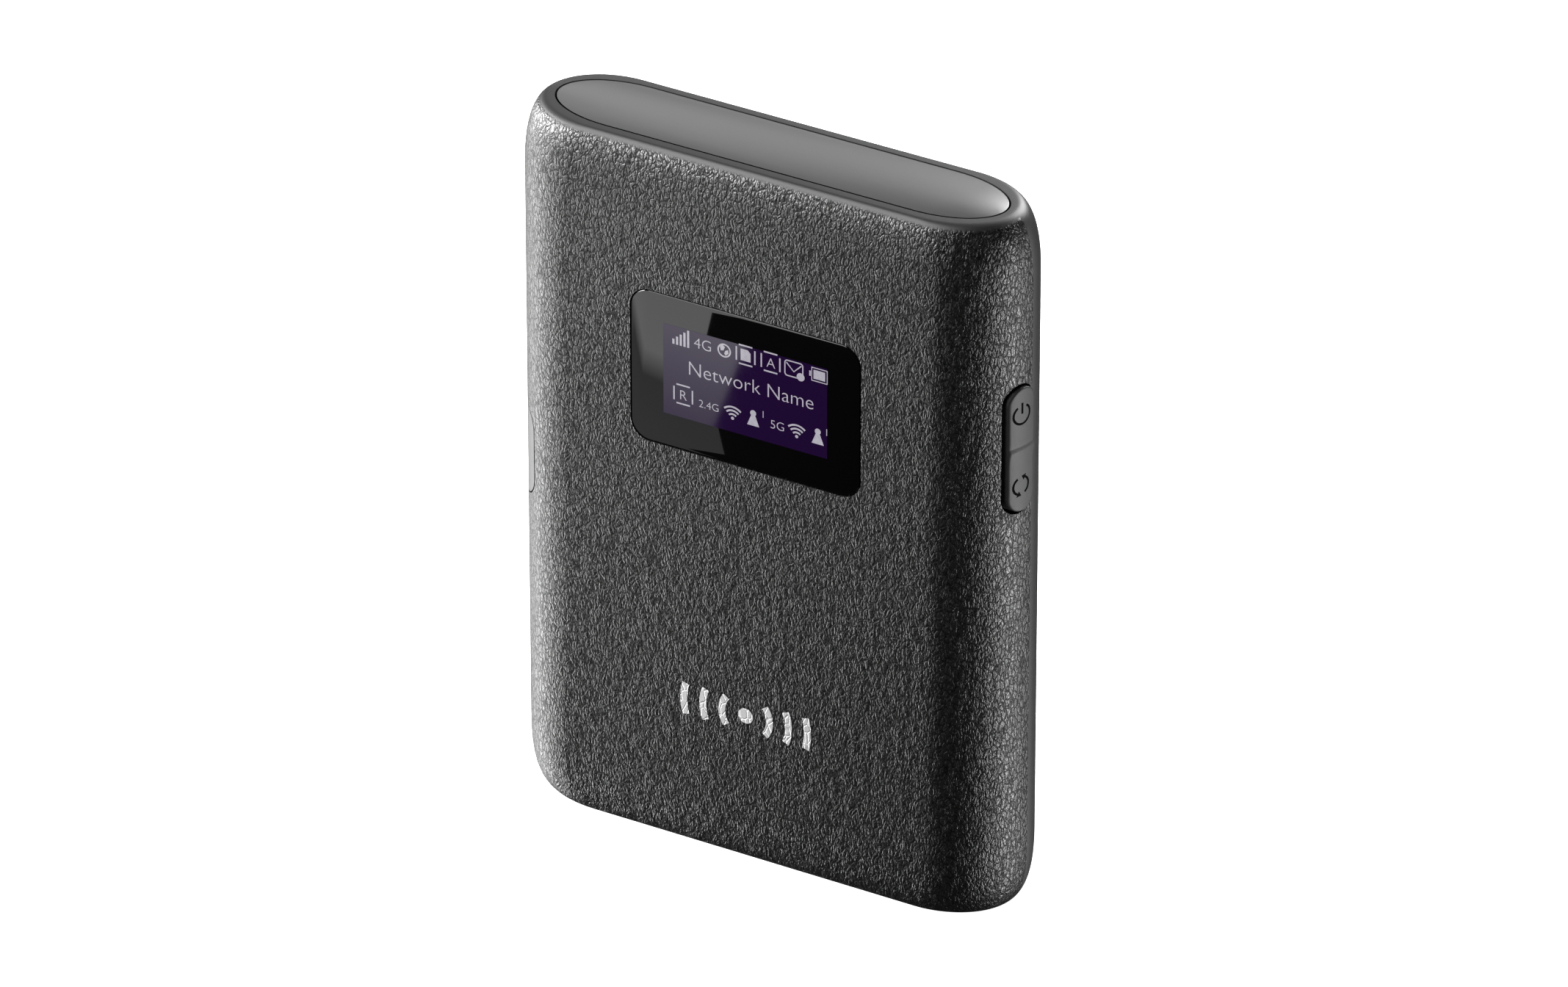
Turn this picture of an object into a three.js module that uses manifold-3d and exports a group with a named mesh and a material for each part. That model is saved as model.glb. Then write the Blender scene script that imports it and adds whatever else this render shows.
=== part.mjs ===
// Pocket 4G hotspot: a cushion-shaped case that stands on its lower end.
// Millimetres. +X is the device's right, -Y its front, +Z up; z = 0 is the surface it stands on.
// Every y below is measured from the parting plane between the two covers, which the outermost
// group shifts so that the origin is the bottom centre of the whole case.

import * as THREE from "three";
import { mergeVertices } from "three/addons/utils/BufferGeometryUtils.js";
import Module from "manifold-3d";

const wasm = await Module();
wasm.setup();

// ---------------------------------------------------------------- driving dimensions

const WIDTH = 69.8;
const HEIGHT = 96.8;
const FRONT_DEPTH = 8.8; // parting plane to the front face
const BACK_DEPTH = 8.2; // parting plane to the back face
const FRONT_CORNER = 9.6; // run of the elliptical corner along X, front half
const BACK_CORNER = 8.9;

// The case narrows towards both ends along a superellipse; the ends themselves are flat.
const TOP_END = { run: 9.2, power: 2.33, side: 3.1, front: 2.25, back: 1.66 };
const BOTTOM_END = { run: 9.7, power: 2.5, side: 3.4, front: 2.24, back: 2.0 };

const COVER_WALL = 1.6;
const GAP = 0.15; // clearance between fixed neighbours
const SLIP = 0.25; // clearance around pieces that come out

const CAP = { halfLength: 31.05, halfDepth: 5.45, end: 9.6, thickness: 1.4, pegX: 18, pegRadius: 1 };

const WINDOW = { width: 32.1, height: 20.9, radius: 2.6, thickness: 1, z: 67.15 };
const BEZEL = { width: 27.6, height: 19.2, back: -6.9 }; // opening behind the window
const PANEL = { width: 26.7, height: 18.4, thickness: 1.4 };
const TAPE = 0.1; // adhesive between the window and its seat

const KEY = { z: 66, pocketLength: 17.9, pocketDepth: 4.75, length: 17.1, depth: 4.2, proud: 0.45 };
const KEY_RIDGE = { height: 1.2, proud: 0.65 };
const KEY_PIVOT_X = 32.2;
const SWITCH_OFFSET = 4.9; // each side switch from the key's middle, along Z
const SWITCH = { y: -3.1, inner: 27.2, outer: 29.9, tip: 30.7, halfHeight: 1.7, halfDepth: 0.85 };

const DOOR = { z: 48.4, length: 12.8, reach: 6.75, corner: 3, thickness: 1, gap: 0.2 };
const DOOR_HINGE = { x: -34.05, y: -1, radius: 0.85, pinRadius: 0.45 };

const FRAME = { inset: 2.5, rim: 1.1, bottom: 3.5, top: 93.1, front: -0.95, floor: -0.2, back: 1.7 };
const BOARD = { halfWidth: 31.2, bottom: 20, top: 88, front: -2.1, back: -1.25 };
const BATTERY = { width: 54, bottom: 6.6, height: 60, head: 3.4, front: 0.1, thickness: 5.5 };
const CONTACTS = { x: [-4.5, 0, 4.5], bottom: 68, top: 71.6, halfWidth: 7.6, back: 3.6 };
const SIM = { x: -23.2, z: 73.4, width: 15, height: 12, thickness: 0.76, front: 0.05, corner: 2.2 };
const USB = { width: 7.5, height: 2.55, inner: -26, mouth: -31.4, y: -3.55, wall: 0.3 };

const SCREW = { head: 1.35, headHeight: 0.6, shank: 0.7, length: 4.6, seat: 0 };
const BOSS = { radius: 1.9, pilot: 0.85, pilotEnd: -6.3 };
const CLEARANCE_HOLE = 0.95; // radius round a screw's shank in the frame and the board
const SCREW_SPOTS = {
  bottom_left: [-29.9, 13],
  bottom_right: [29.9, 13],
  middle_left: [-29.9, 64],
  middle_right: [29.9, 48],
  top_left: [-29.4, 84.5],
  top_right: [29.4, 84.5],
};

// ---------------------------------------------------------------- geometry helpers

function solid(geometry) {
  const bare = geometry.clone();
  for (const name of Object.keys(bare.attributes)) {
    if (name !== "position") bare.deleteAttribute(name);
  }
  const merged = mergeVertices(bare, 1e-4);
  return new wasm.Manifold(
    new wasm.Mesh({
      numProp: 3,
      vertProperties: merged.attributes.position.array,
      triVerts: new Uint32Array(merged.index.array),
    }),
  );
}

function geometryOf(manifold) {
  const mesh = manifold.getMesh();
  const geometry = new THREE.BufferGeometry();
  geometry.setAttribute("position", new THREE.BufferAttribute(mesh.vertProperties, 3));
  geometry.setIndex(new THREE.BufferAttribute(mesh.triVerts, 1));
  geometry.computeVertexNormals();
  return geometry;
}

const join = (...geometries) =>
  geometryOf(geometries.map(solid).reduce((whole, piece) => whole.add(piece)));

const cut = (geometry, ...tools) =>
  geometryOf(tools.map(solid).reduce((whole, tool) => whole.subtract(tool), solid(geometry)));

const common = (a, b) => geometryOf(solid(a).intersect(solid(b)));

const box = ([x0, x1], [y0, y1], [z0, z1]) =>
  new THREE.BoxGeometry(x1 - x0, y1 - y0, z1 - z0).translate(
    (x0 + x1) / 2,
    (y0 + y1) / 2,
    (z0 + z1) / 2,
  );

// A shape drawn in X and Z, made solid from y0 to y1.
function prismAlongY(shape, y0, y1, curveSegments = 8) {
  const geometry = new THREE.ExtrudeGeometry(shape, {
    depth: y1 - y0,
    bevelEnabled: false,
    curveSegments,
  });
  return geometry.rotateX(Math.PI / 2).translate(0, y1, 0);
}

// A shape drawn in Y and Z, made solid from x0 to x1.
function prismAlongX(shape, x0, x1, curveSegments = 8) {
  const geometry = new THREE.ExtrudeGeometry(shape, {
    depth: x1 - x0,
    bevelEnabled: false,
    curveSegments,
  });
  const turn = new THREE.Matrix4().makeBasis(
    new THREE.Vector3(0, 1, 0),
    new THREE.Vector3(0, 0, 1),
    new THREE.Vector3(1, 0, 0),
  );
  return geometry.applyMatrix4(turn).translate(x0, 0, 0);
}

function prismAlongZ(shape, z0, z1, curveSegments = 8) {
  const geometry = new THREE.ExtrudeGeometry(shape, {
    depth: z1 - z0,
    bevelEnabled: false,
    curveSegments,
  });
  return geometry.translate(0, 0, z0);
}

function roundedRect(cx, cy, width, height, radius) {
  const shape = new THREE.Shape();
  const [x0, x1] = [cx - width / 2, cx + width / 2];
  const [y0, y1] = [cy - height / 2, cy + height / 2];
  shape.moveTo(x0 + radius, y0);
  shape.lineTo(x1 - radius, y0);
  shape.absarc(x1 - radius, y0 + radius, radius, -Math.PI / 2, 0);
  shape.lineTo(x1, y1 - radius);
  shape.absarc(x1 - radius, y1 - radius, radius, 0, Math.PI / 2);
  shape.lineTo(x0 + radius, y1);
  shape.absarc(x0 + radius, y1 - radius, radius, Math.PI / 2, Math.PI);
  shape.lineTo(x0, y0 + radius);
  shape.absarc(x0 + radius, y0 + radius, radius, Math.PI, 1.5 * Math.PI);
  return shape;
}

// Straight sides with half-elliptical ends.
function oval(halfLength, halfDepth, end) {
  const shape = new THREE.Shape();
  shape.absellipse(halfLength - end, 0, end, halfDepth, -Math.PI / 2, Math.PI / 2);
  shape.absellipse(end - halfLength, 0, end, halfDepth, Math.PI / 2, 1.5 * Math.PI);
  return shape;
}

const cylinderAlongY = (radius, [y0, y1], x, z, sides = 20) =>
  new THREE.CylinderGeometry(radius, radius, y1 - y0, sides).translate(x, (y0 + y1) / 2, z);

// A closed skin through rings that all hold the same number of points, lowest ring first.
function loft(rings) {
  const count = rings[0].length;
  const positions = rings.flat().flatMap((p) => [p.x, p.y, p.z]);
  const index = [];
  for (let r = 0; r + 1 < rings.length; r++) {
    for (let i = 0; i < count; i++) {
      const j = (i + 1) % count;
      const [a, b] = [r * count + i, r * count + j];
      index.push(a, b, a + count, b, b + count, a + count);
    }
  }
  const outline = rings[0].map((p) => new THREE.Vector2(p.x, p.y));
  const last = (rings.length - 1) * count;
  for (const [a, b, c] of THREE.ShapeUtils.triangulateShape(outline, [])) {
    index.push(a, c, b);
    index.push(last + a, last + b, last + c);
  }
  const geometry = new THREE.BufferGeometry();
  geometry.setAttribute("position", new THREE.Float32BufferAttribute(positions, 3));
  geometry.setIndex(index);
  return geometry;
}

// ---------------------------------------------------------------- outer form

// How far the outline has drawn in at height z: 0 on the straight stretch, 1 on the flat end.
function drawIn(z, end, isTop) {
  const fromEnd = isTop ? HEIGHT - z : z;
  const t = THREE.MathUtils.clamp(1 - fromEnd / end.run, 0, 1);
  return 1 - Math.pow(1 - Math.pow(t, end.power), 1 / end.power);
}

// Half width and depth of one half of the case at height z.
function sectionAt(z, half) {
  const top = drawIn(z, TOP_END, true);
  const bottom = drawIn(z, BOTTOM_END, false);
  const depth = half === "front" ? FRONT_DEPTH : BACK_DEPTH;
  return {
    halfWidth: WIDTH / 2 - TOP_END.side * top - BOTTOM_END.side * bottom,
    depth: depth - TOP_END[half] * top - BOTTOM_END[half] * bottom,
    corner: half === "front" ? FRONT_CORNER : BACK_CORNER,
  };
}

// One half of the case as a solid, drawn in by inset all round, and carried past the parting
// plane by overrun so that it can be used as a cutting tool.
function halfBody(half, inset = 0, overrun = 0) {
  const sign = half === "front" ? -1 : 1;
  const cornerSteps = 10;
  const endSteps = 8;
  const levels = [];
  for (let i = 0; i <= endSteps; i++) {
    levels.push(BOTTOM_END.run * (1 - Math.sin(((endSteps - i) / endSteps) * (Math.PI / 2))));
  }
  for (let i = 0; i <= endSteps; i++) {
    levels.push(HEIGHT - TOP_END.run * (1 - Math.sin((i / endSteps) * (Math.PI / 2))));
  }
  const scale = (HEIGHT - 2 * inset) / HEIGHT;
  const rings = levels.map((level) => {
    const { halfWidth, depth, corner } = sectionAt(level, half);
    const z = inset + level * scale;
    const [a, d, e] = [halfWidth - inset, depth - inset, corner - inset];
    const right = [];
    if (overrun > 0) right.push([a, -overrun]);
    for (let i = 0; i <= cornerSteps; i++) {
      const t = (i / cornerSteps) * (Math.PI / 2);
      right.push([a - e + e * Math.cos(t), d * Math.sin(t)]);
    }
    const left = right.map(([x, y]) => [-x, y]).reverse();
    const ring = [...right, ...left].map(([x, y]) => new THREE.Vector3(x, sign * y, z));
    return half === "front" ? ring.reverse() : ring;
  });
  return loft(rings);
}

// The case outline in X and Z at the parting plane, drawn in by inset, between two heights.
function elevationShape(inset, z0, z1) {
  const steps = 14;
  const right = [];
  for (let i = 0; i <= steps; i++) {
    const eased = (1 - Math.cos((i / steps) * Math.PI)) / 2;
    const z = z0 + (z1 - z0) * eased;
    right.push(new THREE.Vector2(sectionAt(z, "front").halfWidth - inset, z));
  }
  const left = right.map((p) => new THREE.Vector2(-p.x, p.y)).reverse();
  return new THREE.Shape([...right, ...left]);
}

// ---------------------------------------------------------------- materials

const finish = (color, roughness, metalness = 0) => ({ color, roughness, metalness });

const FINISHES = {
  leatherGrain: finish(0x2b2b2b, 0.45),
  satinShell: finish(0x3a3a3b, 0.5),
  brushedCap: finish(0x7a7a7b, 0.35, 0.7),
  blackGlass: finish(0x050507, 0.08),
  display: finish(0x1b0b38, 0.2),
  keyPlastic: finish(0x48484a, 0.6),
  doorPlastic: finish(0x3d3d3e, 0.6),
  framePlastic: finish(0x1d1e20, 0.7),
  solderMask: finish(0x123a2a, 0.5),
  steel: finish(0xb8babd, 0.35, 0.9),
  gold: finish(0xd0a23c, 0.3, 1),
  polyimide: finish(0xa8641c, 0.4),
  connectorPlastic: finish(0x202124, 0.5),
  cardPlastic: finish(0xe8e8ea, 0.5),
  batterySleeve: finish(0x2a2c30, 0.55),
  foam: finish(0x0c0c0d, 0.9),
};

function piece(name, finishName, geometry) {
  const mesh = new THREE.Mesh(geometry, new THREE.MeshStandardMaterial(FINISHES[finishName]));
  mesh.name = name;
  return mesh;
}

function gather(...pieces) {
  const group = new THREE.Group();
  group.add(...pieces);
  return group;
}

// ---------------------------------------------------------------- cutters shared by the covers

const FRONT_INSIDE = -FRONT_DEPTH + COVER_WALL;
const SEAT_FLOOR = -FRONT_DEPTH + WINDOW.thickness + TAPE;

const windowShape = (grow) =>
  roundedRect(0, WINDOW.z, WINDOW.width + 2 * grow, WINDOW.height + 2 * grow, WINDOW.radius + grow);

function capOpening() {
  const gap = 0.25;
  const shape = oval(CAP.halfLength + gap, CAP.halfDepth + gap, CAP.end + gap);
  const throughTop = [HEIGHT - 4, HEIGHT + 1];
  return prismAlongZ(shape, ...throughTop, 14);
}

// The space the door sweeps as it turns: round about its hinge line, with rounded outer corners.
function doorSweep(inset) {
  const half = DOOR.length / 2 - inset;
  const reach = DOOR.reach - inset;
  const corner = DOOR.corner - inset;
  const profile = new THREE.Path();
  profile.moveTo(0, -half);
  profile.lineTo(reach - corner, -half);
  profile.absarc(reach - corner, corner - half, corner, -Math.PI / 2, 0);
  profile.absarc(reach - corner, half - corner, corner, 0, Math.PI / 2);
  profile.lineTo(0, half);
  const ahead = box([-WIDTH, 0], [-2 * FRONT_DEPTH, DOOR_HINGE.y], [0, HEIGHT]);
  const round = new THREE.LatheGeometry(profile.getPoints(6), 96)
    .rotateX(Math.PI / 2)
    .translate(DOOR_HINGE.x, DOOR_HINGE.y, DOOR.z);
  return common(round, ahead);
}

// A round bar on the door's hinge line, reaching halfLength each way from the door's middle.
const hingeBar = (radius, halfLength) =>
  new THREE.CylinderGeometry(radius, radius, 2 * halfLength, 20)
    .rotateX(Math.PI / 2)
    .translate(DOOR_HINGE.x, DOOR_HINGE.y, DOOR.z);

// ---------------------------------------------------------------- front cover

function windowSeat() {
  const opening = roundedRect(0, WINDOW.z, BEZEL.width, BEZEL.height, 0.8);
  return [
    prismAlongY(windowShape(GAP), -FRONT_DEPTH - 1, SEAT_FLOOR),
    prismAlongY(opening, -FRONT_DEPTH - 1, BEZEL.back + 1),
  ];
}

function doorRecess() {
  const root = box(
    [-WIDTH / 2 - 1, DOOR_HINGE.x],
    [DOOR_HINGE.y, 1],
    [DOOR.z - DOOR.length / 2, DOOR.z + DOOR.length / 2],
  );
  return [
    root,
    cut(doorSweep(0), halfBody("front", DOOR.thickness + 0.1, 1)),
    hingeBar(DOOR_HINGE.radius + 0.15, DOOR.length / 2),
    hingeBar(DOOR_HINGE.pinRadius + GAP, DOOR.length / 2 + 1.2),
  ];
}

function portOpening() {
  const gap = 0.3;
  return box(
    [-WIDTH / 2, -28],
    [USB.y - USB.height / 2 - gap, USB.y + USB.height / 2 + gap],
    [DOOR.z - USB.width / 2 - gap, DOOR.z + USB.width / 2 + gap],
  );
}

function keyPocket() {
  const shape = roundedRect(
    -KEY.pocketDepth / 2,
    KEY.z,
    KEY.pocketDepth,
    KEY.pocketLength,
    KEY.pocketDepth / 2 - 0.05,
  );
  return prismAlongX(shape, KEY_PIVOT_X - 4, WIDTH / 2 + 1, 10);
}

// A boss stops at the board, or at the frame where the board doesn't reach.
const bossTop = (z) => (z > BOARD.bottom ? BOARD.front : FRAME.front) - GAP;

function frontCover() {
  const shell = cut(halfBody("front"), halfBody("front", COVER_WALL, 1));
  const inside = halfBody("front", COVER_WALL / 2);
  const spots = Object.values(SCREW_SPOTS);
  const bosses = spots.map(([x, z]) =>
    common(cylinderAlongY(BOSS.radius, [FRONT_INSIDE - 0.4, bossTop(z)], x, z), inside),
  );
  const pilots = spots.map(([x, z]) => cylinderAlongY(BOSS.pilot, [BOSS.pilotEnd, 1], x, z, 12));
  const bezel = prismAlongY(windowShape(1.4), FRONT_INSIDE - 0.1, BEZEL.back);
  return cut(
    join(shell, bezel, ...bosses),
    ...pilots,
    ...windowSeat(),
    ...doorRecess(),
    portOpening(),
    keyPocket(),
    capOpening(),
  );
}

// ---------------------------------------------------------------- back cover

const COVER_TABS = [
  [-1, 24],
  [-1, 78],
  [1, 30],
  [1, 80],
];

// A rib on the cover's inner wall that drops into an open notch in the frame's rim.
function coverTab([side, z], grow = 0) {
  const inner = side * (WIDTH / 2 - 3.2 - grow);
  const outer = side * (WIDTH / 2 - COVER_WALL / 2);
  return box(
    [Math.min(inner, outer), Math.max(inner, outer)],
    [0.5 - grow, 4.4 + grow],
    [z - 2.5 - grow, z + 2.5 + grow],
  );
}

function backCover() {
  const shell = cut(halfBody("back"), halfBody("back", COVER_WALL, 1));
  const inside = halfBody("back", COVER_WALL / 2);
  const tabs = COVER_TABS.map((tab) => common(coverTab(tab), inside));
  return cut(join(shell, ...tabs), capOpening());
}

// ---------------------------------------------------------------- top cap

function topCap() {
  const top = HEIGHT;
  const plate = prismAlongZ(
    oval(CAP.halfLength, CAP.halfDepth, CAP.end),
    top - CAP.thickness,
    top,
    14,
  );
  const pegs = [-CAP.pegX, CAP.pegX].map((x) => capPeg(x, CAP.pegRadius, top - 3.6));
  return join(plate, ...pegs);
}

const capPeg = (x, radius, bottom) =>
  prismAlongZ(
    new THREE.Shape().absarc(x, 0, radius, 0, 2 * Math.PI),
    bottom,
    HEIGHT - CAP.thickness / 2,
    6,
  );

// ---------------------------------------------------------------- frame

const BATTERY_MIDDLE = BATTERY.bottom + BATTERY.height / 2;

// The wall round the battery bay, with a gap for the contacts and a finger notch below.
function batteryWall() {
  const [width, height] = [BATTERY.width + 2 * SLIP, BATTERY.height + 2 * SLIP];
  const back = BATTERY.front + 4.2;
  const inner = roundedRect(0, BATTERY_MIDDLE, width, height, 0.3);
  const outer = roundedRect(0, BATTERY_MIDDLE, width + 2, height + 2, 2.2);
  const top = BATTERY.bottom + BATTERY.height;
  return cut(
    prismAlongY(outer, FRAME.floor - 0.1, back),
    prismAlongY(inner, FRAME.floor - 1, back + 1),
    box([-CONTACTS.halfWidth - 0.8, CONTACTS.halfWidth + 0.8], [FRAME.floor, 9], [top - 1, top + 3]),
    box([-9, 9], [BATTERY.front + 1.5, 9], [BATTERY.bottom - 3, BATTERY.bottom + 2]),
  );
}

function tray() {
  const outline = elevationShape(FRAME.inset, FRAME.bottom, FRAME.top);
  const inset = FRAME.inset + FRAME.rim;
  const hollow = elevationShape(inset, FRAME.bottom + FRAME.rim, FRAME.top - FRAME.rim);
  return cut(
    prismAlongY(outline, FRAME.front, FRAME.back),
    prismAlongY(hollow, FRAME.floor, FRAME.back + 1),
  );
}

function capSeat() {
  const shape = oval(CAP.halfLength - 4, CAP.halfDepth - 1, CAP.end - 3);
  return prismAlongZ(shape, FRAME.top - 1, HEIGHT - CAP.thickness - GAP, 10);
}

function frame() {
  const spots = Object.values(SCREW_SPOTS);
  const pads = spots.map(([x, z]) => cylinderAlongY(2.1, [FRAME.front, SCREW.seat], x, z));
  const holes = spots.map(([x, z]) => cylinderAlongY(CLEARANCE_HOLE, [-5, 5], x, z));
  const pegHoles = [-CAP.pegX, CAP.pegX].map((x) =>
    capPeg(x, CAP.pegRadius + GAP, FRAME.top - 1.5),
  );
  const contactWindow = box(
    [-CONTACTS.halfWidth - 0.8, CONTACTS.halfWidth + 0.8],
    [-5, 5],
    [CONTACTS.bottom - 0.5, CONTACTS.top + 0.6],
  );
  const simWindow = box(
    [SIM.x - 1.6, SIM.x + SIM.width + 0.4],
    [-5, 5],
    [SIM.z - 1.4, SIM.z + SIM.height + 1.4],
  );
  const notches = COVER_TABS.map((tab) => coverTab(tab, SLIP));
  const keyNotch = box([31, 40], [-5, 0.6], [KEY.z - 10, KEY.z + 10]);
  return cut(
    join(tray(), batteryWall(), capSeat(), ...pads),
    ...holes,
    ...pegHoles,
    contactWindow,
    simWindow,
    keyNotch,
    ...notches,
  );
}

// ---------------------------------------------------------------- display

const PANEL_FRONT = SEAT_FLOOR + TAPE;
const PANEL_BACK = PANEL_FRONT + PANEL.thickness;

const displayWindow = () =>
  prismAlongY(windowShape(0), -FRONT_DEPTH, -FRONT_DEPTH + WINDOW.thickness, 10);

// The adhesive ring, just wide enough to cover the seat round the opening.
function windowTape() {
  const opening = roundedRect(0, WINDOW.z, BEZEL.width, BEZEL.height, 0.8);
  return cut(
    prismAlongY(windowShape(-0.4), SEAT_FLOOR - TAPE, SEAT_FLOOR),
    prismAlongY(opening, SEAT_FLOOR - 1, SEAT_FLOOR + 1),
  );
}

const displayPanel = () =>
  prismAlongY(
    roundedRect(0, WINDOW.z, PANEL.width, PANEL.height, 0.3),
    PANEL_FRONT,
    PANEL_BACK,
    3,
  );

const displayCushion = () =>
  cut(
    box([-11, 11], [PANEL_BACK, SHIELD_TOP], [WINDOW.z - 7, WINDOW.z + 7]),
    box([-8, 8], [PANEL_BACK - 1, SHIELD_TOP + 1], [WINDOW.z - 4, WINDOW.z + 4]),
  );

// A flat ribbon of the given thickness along a path in Y and Z.
function ribbon(path, thickness, x0, x1) {
  const points = path.map(([y, z]) => new THREE.Vector2(y, z));
  const normals = points.map((p, i) => {
    const before = points[Math.max(i - 1, 0)];
    const after = points[Math.min(i + 1, points.length - 1)];
    const along = after.clone().sub(before).normalize();
    return new THREE.Vector2(-along.y, along.x).multiplyScalar(thickness / 2);
  });
  const left = points.map((p, i) => p.clone().add(normals[i]));
  const right = points.map((p, i) => p.clone().sub(normals[i])).reverse();
  return prismAlongX(new THREE.Shape([...left, ...right]), x0, x1);
}

// The ribbon leaves the panel's lower edge, turns back and lands on its connector.
function displayFlex() {
  const [y0, y1] = [PANEL_BACK + 0.1, BOARD.front - 1.15];
  const [z0, z1] = [WINDOW.z - PANEL.height / 2 + 1, 51.6];
  const steps = 8;
  const bend = Array.from({ length: steps + 1 }, (_, i) => {
    const t = i / steps;
    const ease = t * t * (3 - 2 * t);
    return [y0 + (y1 - y0) * ease, z0 - 1 + (z1 + 2.4 - z0) * t];
  });
  return ribbon([[y0, z0], ...bend, [y1, z1]], 0.15, -6, 6);
}

const displayConnector = () => box([-6.6, 6.6], [BOARD.front - 1, BOARD.front], [50.4, 53.2]);

// ---------------------------------------------------------------- main board and what it carries

const SHIELD_TOP = BOARD.front - 2.1;

function mainBoard() {
  const shape = roundedRect(
    0,
    (BOARD.bottom + BOARD.top) / 2,
    2 * BOARD.halfWidth,
    BOARD.top - BOARD.bottom,
    4,
  );
  const holes = Object.values(SCREW_SPOTS).map(([x, z]) =>
    cylinderAlongY(CLEARANCE_HOLE, [-4, 4], x, z),
  );
  const keyNotch = box([SWITCH.outer + 0.3, 40], [-4, 4], [KEY.z - 11, KEY.z + 11]);
  return cut(prismAlongY(shape, BOARD.front, BOARD.back, 5), ...holes, keyNotch);
}

// A drawn steel can with an open underside, standing on the board's front.
function shield(x0, x1, z0, z1) {
  const wall = 0.2;
  const shape = roundedRect((x0 + x1) / 2, (z0 + z1) / 2, x1 - x0, z1 - z0, 0.8);
  const inside = roundedRect(
    (x0 + x1) / 2,
    (z0 + z1) / 2,
    x1 - x0 - 2 * wall,
    z1 - z0 - 2 * wall,
    0.6,
  );
  return cut(
    prismAlongY(shape, SHIELD_TOP, BOARD.front, 3),
    prismAlongY(inside, SHIELD_TOP + wall, BOARD.front + 1, 3),
  );
}

function usbShell() {
  const { width, height, inner, mouth, y, wall } = USB;
  const outer = roundedRect(y, DOOR.z, height, width, 0.7);
  const inside = roundedRect(y, DOOR.z, height - 2 * wall, width - 2 * wall, 0.45);
  return cut(prismAlongX(outer, mouth, inner, 3), prismAlongX(inside, mouth - 1, inner - 0.5, 3));
}

const usbTongue = () =>
  box(
    [USB.mouth + 0.9, USB.inner - 0.5],
    [USB.y + 0.15, USB.y + 0.75],
    [DOOR.z - USB.width / 2 + 1.1, DOOR.z + USB.width / 2 - 1.1],
  );

function simSocket() {
  const { x, z, width, height, front } = SIM;
  return cut(
    box([x - 1.2, x + width - 2], [BOARD.back, front - 0.1], [z - 1, z + height + 1]),
    box([x + 2, x + width - 4], [front - 0.5, front + 1], [z + 2, z + height - 2]),
  );
}

function simShell() {
  const { x, z, width, height, front, thickness } = SIM;
  const back = front + thickness + 0.5;
  return cut(
    box([x - 1.1, x + 9.5], [front - 0.1, back], [z - 0.9, z + height + 0.9]),
    box([x - 0.3, x + width], [front - 1, back - 0.25], [z - 0.25, z + height + 0.25]),
    box([x + 6.5, x + width], [front, back + 1], [z + 3, z + height - 3]),
  );
}

// One corner is cut off, so that the card goes in only one way round.
function simCard() {
  const { x, z, width, height, corner, front, thickness } = SIM;
  const shape = new THREE.Shape([
    new THREE.Vector2(x, z),
    new THREE.Vector2(x + width, z),
    new THREE.Vector2(x + width, z + height),
    new THREE.Vector2(x + corner, z + height),
    new THREE.Vector2(x, z + height - corner),
  ]);
  return prismAlongY(shape, front, front + thickness);
}

const BLADE_Y = BATTERY.front + 1.7;

const contactBlock = () =>
  cut(
    box(
      [-CONTACTS.halfWidth, CONTACTS.halfWidth],
      [BOARD.back, CONTACTS.back],
      [CONTACTS.bottom, CONTACTS.top],
    ),
    ...CONTACTS.x.map((x) =>
      box([x - 0.8, x + 0.8], [BLADE_Y - 1.2, 9], [CONTACTS.bottom - 1, CONTACTS.bottom + 1.9]),
    ),
  );

// A sprung blade: its root is held in the block and its nose bulges towards the battery.
function contactBlade(x) {
  const [low, root] = [BATTERY.bottom + BATTERY.height + 0.25, CONTACTS.bottom + 1.75];
  const path = [
    [BLADE_Y - 1, root],
    [BLADE_Y - 1, low + 0.9],
    [BLADE_Y - 0.7, low + 0.35],
    [BLADE_Y, low + 0.1],
    [BLADE_Y + 0.7, low + 0.35],
    [BLADE_Y + 1.1, low + 1.1],
  ];
  return ribbon(path, 0.18, x - 0.5, x + 0.5);
}

// ---------------------------------------------------------------- battery

const HEAD_BOTTOM = BATTERY.bottom + BATTERY.height - BATTERY.head;

function batteryCell() {
  const { width, bottom, front, thickness } = BATTERY;
  const middle = (front + front + thickness) / 2;
  const side = oval(width / 2, thickness / 2, 1.6);
  return prismAlongZ(side, bottom, HEAD_BOTTOM - 0.1, 6).translate(0, middle, 0);
}

const padPocket = (x, grow) =>
  box(
    [x - 1.1 - grow, x + 1.1 + grow],
    [BLADE_Y - 1.2 - grow, BLADE_Y + 1.2 + grow],
    [BATTERY.bottom + BATTERY.height - 0.3 - grow, BATTERY.bottom + BATTERY.height + 1],
  );

function batteryHead() {
  const { width, bottom, height, front, thickness } = BATTERY;
  const side = oval(width / 2, thickness / 2, 1.6);
  const body = prismAlongZ(side, HEAD_BOTTOM, bottom + height, 6);
  body.translate(0, front + thickness / 2, 0);
  return cut(body, ...CONTACTS.x.map((x) => padPocket(x, 0.05)));
}

function batteryPad(x) {
  const top = BATTERY.bottom + BATTERY.height;
  return box([x - 1.1, x + 1.1], [BLADE_Y - 1.2, BLADE_Y + 1.2], [top - 0.3, top - 0.05]);
}

// ---------------------------------------------------------------- keys

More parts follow.
